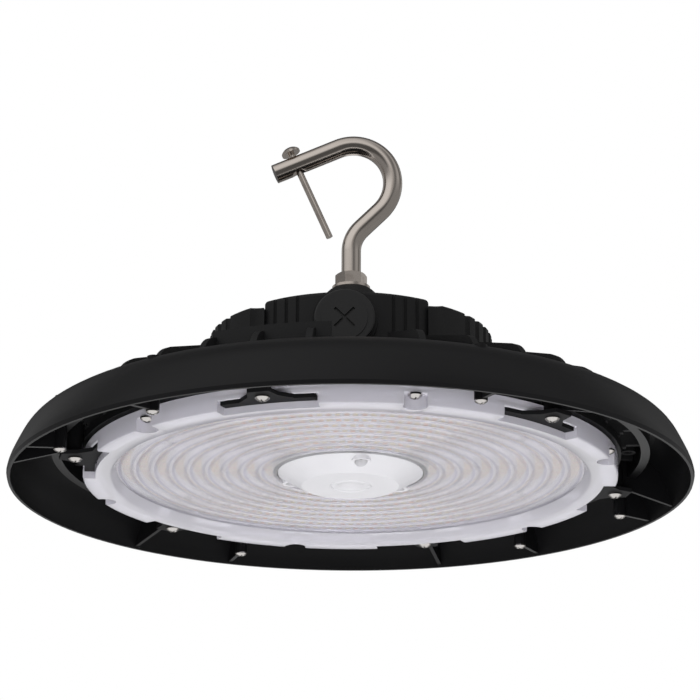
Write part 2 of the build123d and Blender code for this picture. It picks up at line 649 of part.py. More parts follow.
def make_driver_housing():
    base = disc(HUB_R, HUB_BOTTOM_Z, HUB_TOP_Z)
    strip = Pos(0, 0, STRIP_TOP_Z / 2) * Box(2 * STRIP_HALF_W, 4 * HUB_R, 2 * STRIP_TOP_Z)
    front = disc(STRIP_R, HUB_BOTTOM_Z, STRIP_TOP_Z) & strip
    front = fillet(front.edges().filter_by(Axis.Z), 3.0)
    front = fillet(front.faces().sort_by(Axis.Z)[-1].edges(), 2.0)
    base -= ring(HUB_R + 5, STRIP_R, HUB_BOTTOM_Z - 1, HUB_TOP_Z + 1) & strip
    cuts = []
    for side in (-1, 1):
        for end in (-1, 1):
            cuts.append(Pos(side * (STRIP_HALF_W + 4), end * (STRIP_R - 2.5), 0)
                        * disc(SCOOP_R, HUB_BOTTOM_Z - 1, HUB_TOP_Z + 1))
        for i in range(FLUTE_COUNT):
            angle = 270 + side * (FLUTE_START + FLUTE_PITCH * i)
            cuts.append(at(angle, HUB_R + 0.6) * disc(FLUTE_DIA / 2, HUB_BOTTOM_Z - 1, HUB_TOP_Z + 1))
    base = base.cut(*cuts)
    base = fillet(base.faces().sort_by(Axis.Z)[-1].outer_wire().edges(), 1.0)
    neck = turned([
        (0, STRIP_TOP_Z - 3), (NECK_FOOT_R + 3, STRIP_TOP_Z - 3), (NECK_FOOT_R, STRIP_TOP_Z),
        (NECK_TOP_R + 1.7, NECK_TOP_Z - 1.3), (NECK_TOP_R, NECK_TOP_Z), (0, NECK_TOP_Z),
    ])
    pieces = [base, front, neck, entry_cylinder(ENTRY_BOSS_R, HUB_CAVITY_R - 2, ENTRY_FACE_Y)]
    for angle in HOUSING_SCREW_ANGLES:
        lug = disc(LUG_DIA / 2, LUG_BOTTOM_Z, LUG_TOP_Z)
        lug = fillet(lug.edges().sort_by(Axis.Z)[-1], 0.45 * LUG_DIA)
        pieces.append(at(angle, LUG_R) * lug)
        arm = Box(
            LUG_R - HUB_CAVITY_R - 1, 0.8 * LUG_DIA, (LUG_TOP_Z - LUG_BOTTOM_Z) / 2,
            align=(Align.MAX, Align.CENTER, Align.MIN))
        pieces.append(at(angle, LUG_R, LUG_BOTTOM_Z) * arm)
    housing = fuse(pieces)
    cavity = disc(HUB_CAVITY_R, HUB_BOTTOM_Z - 1, HUB_CAVITY_TOP_Z)
    roof = turned([
        (0, HUB_CAVITY_TOP_Z - 1), (NECK_FOOT_R - 7, HUB_CAVITY_TOP_Z - 1),
        (NECK_TOP_R - 1.4, NECK_TOP_Z - 12), (0, NECK_TOP_Z - 12),
    ])
    holes = [cavity, roof, disc(ROD_DIA / 2 + FIT, HUB_CAVITY_TOP_Z, NECK_TOP_Z + 1)]
    holes.append(entry_cylinder(ENTRY_BORE_R, HUB_CAVITY_R - 4, ENTRY_FACE_Y + 1))
    for angle in HOUSING_SCREW_ANGLES:
        holes.append(at(angle, LUG_R) * disc(M4 / 2 + FIT, LUG_BOTTOM_Z - 1, LUG_BOTTOM_Z + LUG_THREAD + 1))
    groove = Box(STRIP_GROOVE_W, 4 * STRIP_GROOVE_DEPTH, STRIP_TOP_Z)
    for end in (-1, 1):
        for side in (-1, 1):
            for inset in STRIP_GROOVE_IN:
                x = STRIP_HALF_W - inset
                y = math.sqrt(STRIP_R ** 2 - x ** 2) + STRIP_GROOVE_DEPTH
                holes.append(Pos(side * x, end * y, LUG_TOP_Z + STRIP_TOP_Z / 2) * groove)
    return housing.cut(*holes)


def make_driver_gasket():
    return ring(STRIP_R - 1.0, HUB_CAVITY_R + 0.5, PLATE_TOP_Z, HUB_BOTTOM_Z)


# Side entry plug


def make_blanking_plug():
    face_y = ENTRY_FACE_Y + PLUG_SEAL_T
    head = entry_cylinder(PLUG_R, face_y, face_y + PLUG_HEAD_T)
    head = fillet(head.edges().sort_by(Axis.Y)[0], 0.8)
    raised = entry_cylinder(PLUG_STUB_R + CLEAR, face_y, face_y + PLUG_HEAD_T + PLUG_RAISE)
    stub = entry_cylinder(PLUG_STUB_R, face_y - PLUG_STUB_LEN, face_y + PLUG_HEAD_T / 2)
    plug = fuse([head, raised, stub])
    plug -= entry_cylinder(PLUG_STUB_R - PLUG_WALL, face_y - PLUG_STUB_LEN - 1, face_y - 1)
    for angle in (45, -45):
        slot = Box(PLUG_SLOT_LEN, 2 * PLUG_SLOT_DEPTH, PLUG_SLOT_W)
        plug -= Pos(0, -(face_y + PLUG_HEAD_T + PLUG_RAISE), ENTRY_Z) * Rot(0, angle, 0) * slot
    return plug


def make_plug_seal():
    return entry_cylinder(PLUG_R - 1.2, ENTRY_FACE_Y, ENTRY_FACE_Y + PLUG_SEAL_T) - entry_cylinder(
        ENTRY_BORE_R, ENTRY_FACE_Y - 1, ENTRY_FACE_Y + PLUG_SEAL_T + 1)


# Hook, nut, washer and pin


def polar_point(centre, radius, angle):
    """A point in the hook's plane, at an angle from local +X."""
    turn = math.radians(angle)
    return (centre[0] + radius * math.cos(turn), centre[1] + radius * math.sin(turn))


def hook_points():
    """Ends and middles of the hook's straight runs and arcs, in its own plane."""
    side_centre = (HOOK_CENTRE_X, HOOK_CENTRE_Z)
    top_centre = polar_point(side_centre, HOOK_SIDE_R - HOOK_TOP_R, HOOK_TOP_FROM)
    tip_turn = 90 + HOOK_TIP_SLOPE
    loop_start = polar_point(side_centre, HOOK_SIDE_R, -HOOK_SLOPE)
    loop_side = polar_point(side_centre, HOOK_SIDE_R, (HOOK_TOP_FROM - HOOK_SLOPE) / 2)
    loop_mid = polar_point(side_centre, HOOK_SIDE_R, HOOK_TOP_FROM)
    loop_top = polar_point(top_centre, HOOK_TOP_R, (HOOK_TOP_FROM + tip_turn) / 2)
    loop_end = polar_point(top_centre, HOOK_TOP_R, tip_turn)
    tip = polar_point(loop_end, HOOK_TIP_LEN, 180 + HOOK_TIP_SLOPE)
    slope = math.radians(HOOK_SLOPE)
    bend_end_x = HOOK_BEND_R * (1 - math.cos(slope))
    bend_end_z = loop_start[1] - (loop_start[0] - bend_end_x) / math.tan(slope)
    bend_start_z = bend_end_z - HOOK_BEND_R * math.sin(slope)
    bend_mid = polar_point((HOOK_BEND_R, bend_start_z), HOOK_BEND_R, 180 - HOOK_SLOPE / 2)
    return {
        "bend_start": (0, bend_start_z), "bend_mid": bend_mid, "bend_end": (bend_end_x, bend_end_z),
        "loop_start": loop_start, "loop_side": loop_side, "loop_mid": loop_mid, "loop_top": loop_top,
        "loop_end": loop_end, "tip": tip,
    }


def pin_place():
    """The pin's seat on the hook's tip, with local Z pointing out of the rod, away from the mouth."""
    p = hook_points()
    along = math.radians(HOOK_TIP_SLOPE)
    x = p["tip"][0] + PIN_FROM_TIP * math.cos(along)
    z = p["tip"][1] + PIN_FROM_TIP * math.sin(along)
    return Rot(0, 0, HOOK_TURN) * Pos(x, 0, z) * Rot(0, -HOOK_TIP_SLOPE, 0)


def make_hook():
    p = hook_points()
    path = Plane.XZ * Wire([
        Line((0, HOOK_FOOT_Z), p["bend_start"]),
        ThreePointArc(p["bend_start"], p["bend_mid"], p["bend_end"]),
        Line(p["bend_end"], p["loop_start"]),
        ThreePointArc(p["loop_start"], p["loop_side"], p["loop_mid"]),
        ThreePointArc(p["loop_mid"], p["loop_top"], p["loop_end"]),
        Line(p["loop_end"], p["tip"]),
    ])
    rod = sweep(Plane((0, 0, HOOK_FOOT_Z)) * Circle(ROD_DIA / 2), path)
    hook = Rot(0, 0, HOOK_TURN) * rod
    hole = Cylinder(PIN_DIA / 2 + FIT, 3 * ROD_DIA)
    mouth = Pos(0, 0, PIN_SINK_DEPTH / 2 - ROD_DIA / 2 - FIT) * Cone(PIN_SINK_R, PIN_DIA / 2, PIN_SINK_DEPTH)
    return hook.cut(pin_place() * hole, pin_place() * mouth)


def make_safety_pin():
    """Headed pin: it is pressed through the hook's tip with its head proud, and crosses the hook's mouth."""
    pin = turned_over(Screw(PIN_DIA, PIN_LEN, PIN_HEAD_DIA, PIN_HEAD_H))
    return pin_place() * Pos(0, 0, ROD_DIA / 2 + PIN_HEAD_LIFT) * pin


def make_hook_washer():
    return ring(WASHER_R, ROD_DIA / 2 + FIT, NECK_TOP_Z, NECK_TOP_Z + WASHER_T)


def make_hook_nut():
    z0 = NECK_TOP_Z + WASHER_T
    prism = Rot(0, 0, NUT_TURN) * Pos(0, 0, z0) * extrude(RegularPolygon(NUT_AF / 2, 6, False), NUT_H)
    corner = NUT_AF / 2 / math.cos(math.radians(30))
    dome = turned([
        (0, z0), (corner + 0.1, z0), (corner + 0.1, z0 + NUT_H - 1.0), (NUT_AF / 2 - 0.6, z0 + NUT_H),
        (0, z0 + NUT_H),
    ])
    return (prism & dome) - disc(ROD_DIA / 2 + FIT, z0 - 1, z0 + NUT_H + 1)


# Driver and leads


def make_driver_board():
    board = disc(DRIVER_BOARD_R, DRIVER_BOARD_Z, DRIVER_BOARD_Z + BOARD_T)
    holes = [at(a, DRIVER_SCREW_R) * disc(M3 / 2 + FIT, DRIVER_BOARD_Z - 1, DRIVER_BOARD_Z + BOARD_T + 1)
             for a in DRIVER_SCREW_ANGLES]
    return board.cut(*holes)


def make_driver_transformer():
    width, depth, height = TRANSFORMER_SIZE
    window = Box(width - 2 * TRANSFORMER_LEG, 2 * depth, height - 2 * TRANSFORMER_LEG)
    winding_r = height / 2 - TRANSFORMER_LEG - CLEAR
    core = Box(*TRANSFORMER_SIZE) - window
    winding = Rot(0, 90, 0) * Cylinder(winding_r, width - TRANSFORMER_LEG)
    return Pos(*TRANSFORMER_XY, DRIVER_BOARD_Z + BOARD_T + height / 2) * (core + winding)


def make_driver_capacitors():
    can = fillet(disc(CAN_R, 0, CAN_H).edges().sort_by(Axis.Z)[-1], 1.0)
    return group(can, [Pos(x, y, DRIVER_BOARD_Z + BOARD_T) for x, y in CAN_XY])


def make_driver_choke():
    core = Cylinder(CHOKE_R, CHOKE_H) - Cylinder(0.4 * CHOKE_R, CHOKE_H + 2)
    return Pos(*CHOKE_XY, DRIVER_BOARD_Z + BOARD_T + CHOKE_H / 2) * core


def make_terminal_block():
    width, depth, height = TERMINAL_SIZE
    block = Pos(0, 0, DRIVER_BOARD_Z - height / 2) * Box(width, depth, height)
    for x in (-LEAD_X, LEAD_X):
        block -= Pos(x, 0, 0) * disc(LEAD_DIA / 2 + FIT, DRIVER_BOARD_Z - height - 1, DRIVER_BOARD_Z - 2)
    return block


def make_lead_grommet():
    flange = disc(LEAD_HOLE_R + GROMMET_LIP_W, PLATE_TOP_Z, PLATE_TOP_Z + GROMMET_LIP_T)
    body = disc(LEAD_HOLE_R - FIT, PLATE_BOTTOM_Z + GROMMET_LIP_W, PLATE_TOP_Z + GROMMET_LIP_T)
    hole = disc(LEAD_DIA / 2 + FIT, PLATE_BOTTOM_Z - 1, PLATE_TOP_Z + 3)
    return (flange + body).cut(Pos(-LEAD_X, 0, 0) * hole, Pos(LEAD_X, 0, 0) * hole)


def make_board_leads():
    """Two leads, straight down from the terminal block and bent out to the board's edge of its hole."""
    leads = []
    turn_z = BOARD_BOTTOM_Z + BOARD_T / 2
    top = DRIVER_BOARD_Z - LEAD_DIA
    for side in (-1, 1):
        x = side * LEAD_X
        path = Plane.XZ * FilletPolyline(
            (x, top), (x, turn_z), (side * (BOARD_HOLE_R - FIT), turn_z), radius=LEAD_BEND_R)
        start = Plane((x, 0, top), z_dir=(0, 0, -1))
        leads.append(sweep(start * Circle(LEAD_CORE_DIA / 2), path))
    return Compound(leads)


# Screws


def make_screws():
    """Every group of identical screws, by node name."""
    housing_seat = PLATE_BOTTOM_Z + HEAD_RECESS
    shroud_seat = FLANGE_UNDER_Z + EAR_T
    driver_seat = DRIVER_BOARD_Z + BOARD_T
    return {
        "post_screws": group(pan_screw(POST_SCREW), [at(a, POST_R, POST_END_Z) for a in POST_ANGLES]),
        "lens_clip_screws": group(pan_screw(CLIP_SCREW), [at(a, CLIP_R, CLIP_BOTTOM_Z) for a in CLIP_ANGLES]),
        "lens_screws": group(
            pan_screw(LENS_SCREW), [at(a, LENS_SCREW_R, LENS_SCREW_SEAT_Z) for a in LENS_SCREW_ANGLES]),
        "centre_cover_screws": group(
            pan_screw(COVER_SCREW), [at(a, COVER_SCREW_R, COVER_SCREW_SEAT_Z) for a in COVER_SCREW_ANGLES]),
        "led_board_screws": group(
            pan_screw(BOARD_SCREW), [place * Pos(0, 0, -BOARD_T) for place in board_screw_places()]),
        "driver_housing_screws": group(
            pan_screw(HOUSING_SCREW), [at(a, LUG_R, housing_seat) for a in HOUSING_SCREW_ANGLES]),
        "shroud_screws": group(
            turned_over(SHROUD_SCREW), [at(a, SHROUD_SCREW_R, shroud_seat) for a in SHROUD_SCREW_ANGLES]),
        "driver_board_screws": group(
            turned_over(DRIVER_SCREW), [at(a, DRIVER_SCREW_R, driver_seat) for a in DRIVER_SCREW_ANGLES]),
    }


def make_nodes():
    nodes = {
        "outer_shroud": make_outer_shroud(),
        "heat_sink": make_heat_sink(),
        "driver_housing": make_driver_housing(),
        "driver_gasket": make_driver_gasket(),
        "lens": make_lens(),
        "lens_gasket": make_lens_gasket(),
        "lens_inner_gasket": make_lens_inner_gasket(),
        "led_board": make_led_board(),
        "centre_cover": make_centre_cover(),
        "blanking_plug": make_blanking_plug(),
        "plug_seal": make_plug_seal(),
        "hook": make_hook(),
        "hook_washer": make_hook_washer(),
        "hook_nut": make_hook_nut(),
        "safety_pin": make_safety_pin(),
        "driver_board": make_driver_board(),
        "driver_transformer": make_driver_transformer(),
        "driver_capacitors": make_driver_capacitors(),
        "driver_choke": make_driver_choke(),
        "terminal_block": make_terminal_block(),
        "lead_grommet": make_lead_grommet(),
        "board_leads": make_board_leads(),
    }
    for number, angle in enumerate(CLIP_ANGLES, start=1):
        nodes[f"lens_clip_{number}"] = make_clip(angle)
    for number in range(RING_LENS_COUNT):
        nodes[f"led_ring_{number + 1}"] = make_led_ring(number)
    nodes.update(make_screws())
    return nodes


os.makedirs("parts", exist_ok=True)
for name, shape in make_nodes().items():
    export_step(shape, f"parts/{name}.step")
    print(name)
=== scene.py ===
# %% [markdown]
# A high bay light, step by step
#
# The light hangs from a bent-rod hook: a round driver housing, a finned heat sink, a dished black shroud
# and a ribbed ring lens over the light board. The solids come from the packed model as a fixed frame, in
# metres, so each piece already has its size and place. This file adds what the solids leave out: the finish
# of each surface, the light chips at their real spacing, and a lens fine enough for light to bend in.

# %% Load the frame
import bmesh
import bpy
import json
import math
from mathutils import Matrix, Vector


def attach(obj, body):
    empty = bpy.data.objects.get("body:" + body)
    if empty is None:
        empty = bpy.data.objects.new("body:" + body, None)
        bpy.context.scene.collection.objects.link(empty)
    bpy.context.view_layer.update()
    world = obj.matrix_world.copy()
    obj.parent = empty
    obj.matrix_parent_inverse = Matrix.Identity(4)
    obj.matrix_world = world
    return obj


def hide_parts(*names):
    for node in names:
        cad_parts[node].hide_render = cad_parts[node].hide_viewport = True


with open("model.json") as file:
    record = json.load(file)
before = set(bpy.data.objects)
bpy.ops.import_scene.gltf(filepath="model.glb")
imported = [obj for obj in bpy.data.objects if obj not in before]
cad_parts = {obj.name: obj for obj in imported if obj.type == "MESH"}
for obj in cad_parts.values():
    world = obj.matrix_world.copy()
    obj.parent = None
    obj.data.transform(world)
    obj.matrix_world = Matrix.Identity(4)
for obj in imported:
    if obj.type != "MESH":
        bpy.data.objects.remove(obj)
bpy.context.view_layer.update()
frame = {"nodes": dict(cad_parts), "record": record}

# %% [markdown]
# Shader maths as plain expressions
#
# A finish is a small sum: a base value plus some noise, limited by a mask. Written as nodes, that is a page
# of wiring, so one class wraps an output socket and turns an expression such as 1 - mask into Math nodes.
# Every other node comes from its node() method: the type first, then its settings, then what goes into its
# sockets.


# %% A socket that can be calculated with
class Signal:
    """One output socket of a node tree."""

    def __init__(self, tree, socket=None):
        self.tree = tree
        self.socket = socket

    def node(self, kind, settings=None, inputs=None, output=0):
        """A new node in the same tree: settings first, then the values or links of its sockets."""
        made = self.tree.nodes.new(kind)
        for name, value in (settings or {}).items():
            setattr(made, name, value)
        for name, value in (inputs or {}).items():
            if isinstance(value, Signal):
                self.tree.links.new(value.socket, made.inputs[name])
            else:
                made.inputs[name].default_value = value
        return Signal(self.tree, made.outputs[output])

    def twin(self, output):
        """Another output of the node that this socket belongs to."""
        return Signal(self.tree, self.socket.node.outputs[output])

    def maths(self, operation, *values):
        """A Math node of one operation."""
        return self.node("ShaderNodeMath", {"operation": operation}, dict(enumerate(values)))

    def __add__(self, other):
        return self.maths("ADD", self, other)

    def __radd__(self, other):
        return self.maths("ADD", other, self)

    def __sub__(self, other):
        return self.maths("SUBTRACT", self, other)

    def __rsub__(self, other):
        return self.maths("SUBTRACT", other, self)

    def __mul__(self, other):
        return self.maths("MULTIPLY", self, other)

    def __rmul__(self, other):
        return self.maths("MULTIPLY", other, self)

    def __truediv__(self, other):
        return self.maths("DIVIDE", self, other)

    def rise(self, low, high):
        """0 below low, 1 above high, and smooth between."""
        return self.node(
            "ShaderNodeMapRange", {"interpolation_type": "SMOOTHSTEP"},
            {"Value": self, "From Min": low, "From Max": high})


print("reflected forms:", sorted(name for name in vars(Signal) if name.startswith("__r")))

# %% [markdown]
# What most finishes share
#
# A moulded or coated surface is never one flat value. Its colour and gloss drift over centimetres, and a
# grain of a tenth of a millimetre or so breaks its highlights. Noise in object coordinates gives both at a
# known size: the solids sit at the origin in metres, so a noise scale of 1000 is a period of a millimetre.


# %% Helpers for finishes
def place(signal):
    """The point on the object, in metres."""
    return signal.node("ShaderNodeTexCoord", output="Object")


def noise(at, period, detail=2.0, rough=0.5):
    """Noise of a given period in metres, from 0 to 1."""
    return at.node(
        "ShaderNodeTexNoise", None,
        {"Vector": at, "Scale": 1 / period, "Detail": detail, "Roughness": rough}, "Fac")


def blend(low, high, factor):
    """A colour between two others."""
    return factor.node("ShaderNodeMix", {"data_type": "RGBA"}, {0: factor, 6: (*low, 1), 7: (*high, 1)}, 2)


def bump(height, depth):
    """A normal from a height of 0 to 1, where depth is that height in metres."""
    return height.node("ShaderNodeBump", None, {"Height": height, "Distance": depth})


def finish(name, constants, paint):
    """A material: constants are set on the shader's own sockets, and paint gives those that vary."""
    material = bpy.data.materials.new(name)
    material.use_nodes = True
    tree = material.node_tree
    shader = tree.nodes["Principled BSDF"]
    for socket, value in constants.items():
        shader.inputs[socket].default_value = value
    for socket, signal in paint(Signal(tree)).items():
        tree.links.new(signal.socket, shader.inputs[socket])
    varied = sorted(link.to_socket.name for link in tree.links if link.to_node == shader)
    print("finish", name, "varies in", varied)
    return material


# %% [markdown]
# Black plastic and black metal
#
# The shroud is one large satin moulding with a spark-eroded grain. The housing and the heat sink are die
# cast and powder coated: a little lighter and more matt, with the soft orange peel that powder leaves. Gloss
# sets them apart far more than colour does, which is how the eye tells them apart on the real light.


# %% Satin black moulding
DRIFT_PERIOD = 0.06


def moulded(dark, light, gloss, grain_period, grain_depth):
    """Paint of a moulded surface: slow drift of colour and gloss, and a fine even grain."""
    def paint(start):
        at = place(start)
        drift = noise(at, DRIFT_PERIOD)
        grain = noise(at, grain_period, 3.0, 0.6)
        return {
            "Base Color": blend(dark, light, drift * 0.7 + grain * 0.3),
            "Roughness": gloss + 0.10 * (drift - 0.5) + 0.06 * (grain - 0.5),
            "Normal": bump(grain, grain_depth),
        }
    return paint


shroud_black = finish(
    "shroud_satin_black", {"Specular IOR Level": 0.16},
    moulded((0.0040, 0.0040, 0.0044), (0.0062, 0.0062, 0.0068), 0.38, 0.0005, 0.00002))
clip_black = finish(
    "clip_nylon_black", {"Specular IOR Level": 0.08},
    moulded((0.008, 0.008, 0.0085), (0.012, 0.012, 0.013), 0.55, 0.0007, 0.00004))
plug_black = finish(
    "plug_satin_black", {"Specular IOR Level": 0.35},
    moulded((0.0060, 0.0060, 0.0064), (0.0095, 0.0095, 0.0100), 0.36, 0.0006, 0.00003))


# %% Powder coat on cast metal
def powder_coat(start):
    """Soft peel with fine grit on it."""
    at = place(start)
    peel = noise(at, 0.0016, 1.5)
    grit = noise(at, 0.0004, 2.0, 0.7)
    drift = noise(at, 0.05)
    return {
        "Base Color": blend((0.0052, 0.0053, 0.0057), (0.0088, 0.0090, 0.0096), 0.5 * drift + 0.5 * grit),
        "Roughness": 0.56 + 0.12 * (drift - 0.5) + 0.08 * (grit - 0.5),
        "Normal": bump(0.7 * peel + 0.3 * grit, 0.00009),
    }


coated_black = finish("cast_powder_black", {"Specular IOR Level": 0.22}, powder_coat)

# %% [markdown]
# Bare steel
#
# The hook, its nut and the safety pin are warm grey stainless. The rod was drawn through a die, so its marks
# run along it and bend with it. No noise in object coordinates can follow a bend, so the rod gets UV
# coordinates measured along and around its own centre line, and the noise is stretched in them. The pan
# heads are turned and bright, with finer marks.


# %% Drawn rod, and turned parts
MARKS_PER_METRE = (30.0, 2600.0, 1.0)
SMEARS_PER_METRE = (28.0, 320.0, 1.0)


def stretched_noise(at, per_metre, detail):
    """Noise with its own number of periods a metre along and around the rod."""
    long_way = at.node("ShaderNodeMapping", None, {"Vector": at, "Scale": per_metre})
    return long_way.node(
        "ShaderNodeTexNoise", None, {"Vector": long_way, "Scale": 1.0, "Detail": detail}, "Fac")


def drawn_steel(start):
    """Long fine marks, and wider smears of tarnish."""
    at = start.node("ShaderNodeTexCoord", output="UV")
    marks = stretched_noise(at, MARKS_PER_METRE, 4.0)
    tarnish = stretched_noise(at, SMEARS_PER_METRE, 2.0).rise(0.56, 0.74)
    worn = 0.7 * tarnish + 0.3 * marks.rise(0.45, 0.8)
    return {
        "Base Color": blend((0.56, 0.505, 0.46), (0.40, 0.345, 0.305), worn),
        "Roughness": 0.11 + 0.05 * marks + 0.08 * tarnish,
        "Normal": bump(marks, 0.0000012),
    }


def turned_steel(start):
    """The nut and the pin: fine marks and a few stains."""
    at = place(start)
    marks = noise(at, 0.0005, 3.0, 0.6)
    stain = noise(at, 0.006, 2.0).rise(0.5, 0.75)
    return {
        "Base Color": blend((0.60, 0.54, 0.49), (0.44, 0.38, 0.34), 0.6 * stain + 0.2 * marks),
        "Roughness": 0.16 + 0.08 * marks + 0.05 * stain,
        "Normal": bump(marks, 0.000006),
    }


def bright_steel(start):
    """Screw heads: paler, with the finest marks."""
    at = place(start)
    marks = noise(at, 0.0003, 2.0)
    return {
        "Base Color": blend((0.72, 0.70, 0.68), (0.50, 0.47, 0.45), marks),
        "Roughness": 0.14 + 0.12 * marks,
        "Normal": bump(marks, 0.00001),
    }


rod_steel = finish("rod_drawn_steel", {"Metallic": 1.0}, drawn_steel)
nut_steel = finish("nut_turned_steel", {"Metallic": 1.0}, turned_steel)
screw_steel = finish("screw_bright_steel", {"Metallic": 1.0}, bright_steel)

# %% [markdown]
# The ring lens
#
# The cover is one moulding of polycarbonate with a milky tint. Nine ring lenses stand side by side, and fine
# ribs run across each ring to spread the light the other way. The photo looks at the lens at 72 degrees from
# its normal. There a curve bends light about five times as strongly as it does seen square on, so the rings
# here are shallow: as deep as in the solid, they would hide the chips behind them. So shallow, they cast
# little light and shade of their own, and the base colour carries it as painted light: a painted highlight
# line at each border between two rings, a paler painted-lit middle, and painted shade on the sides between.
# The ribs are 1.2 mm apart, far too many to model, so they are a bump whose count is worked out for each
# ring from its radius. The rim is milkier than the rings and has its own finish.

# %% Sizes of the lens
MM = 0.001
LENS_R = 134.3
LENS_BORE_R = 37.0
LENS_BOTTOM_Z = 2.5
LENS_FACE_Z = 7.0
LENS_INSIDE_Z = 9.6
LENS_TOP_Z = 12.6
LENS_WALL = 2.4
BORE_TOP_Z = 11.0
RING_COUNT = 9
RING_PITCH = 8.965
RING_FIRST_R = 36.735
RING_DROP = 0.35
RIB_PITCH = 1.2
SEAL_RIB_IN_R = 121.0
SEAL_RIB_OUT_R = 126.4
POCKET_FLOOR_Z = 4.7
RIM_FILLET = 0.8
CLIP_ANGLES = [15.5 + 60 * i for i in range(6)]
SCREW_TURN = 30
CLIP_POCKET_R = 127.9
CLIP_POCKET_Z = 7.8
CLIP_POCKET_HALF = 10.6
SCREW_R = 132.2
SCREW_NOTCH_R = 5.6
SCREW_NOTCH_Z = 8.6
POCKET_MARGIN = 1.2
RIM_STEP = 2.2
RIM_STEP_Z = 3.5
RIM_START = 3.8
RING_EDGES = [LENS_BORE_R] + [RING_FIRST_R + RING_PITCH * k for k in range(1, RING_COUNT + 1)]
SCREW_NOTCH_HALF = math.degrees(SCREW_NOTCH_R / SCREW_R)
print("rings from", RING_EDGES[0], "to", round(RING_EDGES[-1], 1), "mm")


# %% Milky ribbed polycarbonate
# Painted light on each ring, as distances from its middle in shares of its width: a painted highlight line
# at the border and a paler painted-lit middle, with painted shade between them.
BORDER_PAINTED_HIGHLIGHT = (0.37, 0.44)
MIDDLE_PAINTED_LIGHT = (0.18, 0.30)


def ribbed_lens(start):
    """Ribs across each ring, with a painted highlight line at each border, a painted-lit middle and painted
    shade between.
    """
    at = place(start)
    x = at.node("ShaderNodeSeparateXYZ", None, {"Vector": at})
    y = x.twin("Y")
    radius = x.maths("SQRT", x * x + y * y)
    angle = x.maths("ARCTAN2", y, x)
    ring = x.maths("FLOOR", (radius - RING_FIRST_R * MM) / (RING_PITCH * MM))
    middle = RING_FIRST_R * MM + (ring + 0.5) * (RING_PITCH * MM)
    count = x.maths("ROUND", middle * (2 * math.pi / (RIB_PITCH * MM)))
    ribs = x.maths("COSINE", angle * count) * 0.5 + 0.5
    from_middle = x.maths("ABSOLUTE", (radius - middle) / (RING_PITCH * MM))
    # Painted light and shade: 1 on the highlight line at each border, near 1 in the middle, 0 on the shaded
    # sides.
    pale = from_middle.rise(*BORDER_PAINTED_HIGHLIGHT) + 0.85 * (1 - from_middle.rise(*MIDDLE_PAINTED_LIGHT))
    haze = noise(at, 0.03)
    return {
        # The dark lilac is painted shade on the ring sides, the near white is painted highlight.
        "Base Color": blend((0.68, 0.665, 0.79), (0.975, 0.96, 1.0), 0.95 * pale + 0.05 * haze),
        "Roughness": 0.03 + 0.03 * haze,
        "Normal": bump(ribs + 0.05 * noise(at, 0.0009), 0.00002),
    }


def milky_rim(start):
    """The rim: plain and finely frosted."""
    at = place(start)
    haze = noise(at, 0.03)
    frost = noise(at, 0.0009, 2.0)
    return {
        "Base Color": blend((0.90, 0.885, 0.97), (0.94, 0.925, 0.99), haze),
        "Roughness": 0.13 + 0.06 * haze,
        "Normal": bump(frost, 0.00002),
    }


lens_milky = finish("lens_ribbed_milky", {"Transmission Weight": 0.86, "IOR": 1.45}, ribbed_lens)
rim_milky = finish("lens_rim_milky", {"Transmission Weight": 0.55, "IOR": 1.45}, milky_rim)


# %% Lens profile at one angle
def apart(one, other):
    """Degrees between two angles, the short way round."""
    return abs((one - other + 180) % 360 - 180)


def notch_at(angle):
    """Where the rim's underside is cut away at an angle: from which radius out, up to which height."""
    for clip in CLIP_ANGLES:
        if apart(angle, clip) < CLIP_POCKET_HALF:
            return CLIP_POCKET_R, CLIP_POCKET_Z
        off = apart(angle, clip + SCREW_TURN)
        if off < SCREW_NOTCH_HALF:
            across = SCREW_R * math.sin(math.radians(off))
            half = math.sqrt(SCREW_NOTCH_R ** 2 - across ** 2)
            return SCREW_R * math.cos(math.radians(off)) - half, SCREW_NOTCH_Z
    return CLIP_POCKET_R, LENS_BOTTOM_Z


def in_pocket(angle):
    """True where the rim is hollow from above, between a clip and a screw."""
    low = CLIP_POCKET_HALF + POCKET_MARGIN
    high = SCREW_TURN - SCREW_NOTCH_HALF - POCKET_MARGIN
    return any(low < apart(angle, clip) < high for clip in CLIP_ANGLES)


def ring_arc(left, right, steps):
    """Points of one ring lens from cusp to cusp, without the last one."""
    half = (right - left) / 2
    radius = (half ** 2 + RING_DROP ** 2) / (2 * RING_DROP)
    spread = math.asin(half / radius)
    middle = (left + right) / 2
    centre_z = LENS_FACE_Z - RING_DROP + radius
    turns = [spread * (2 * i / steps - 1) for i in range(steps)]
    return [(middle + radius * math.sin(t), centre_z - radius * math.cos(t)) for t in turns]


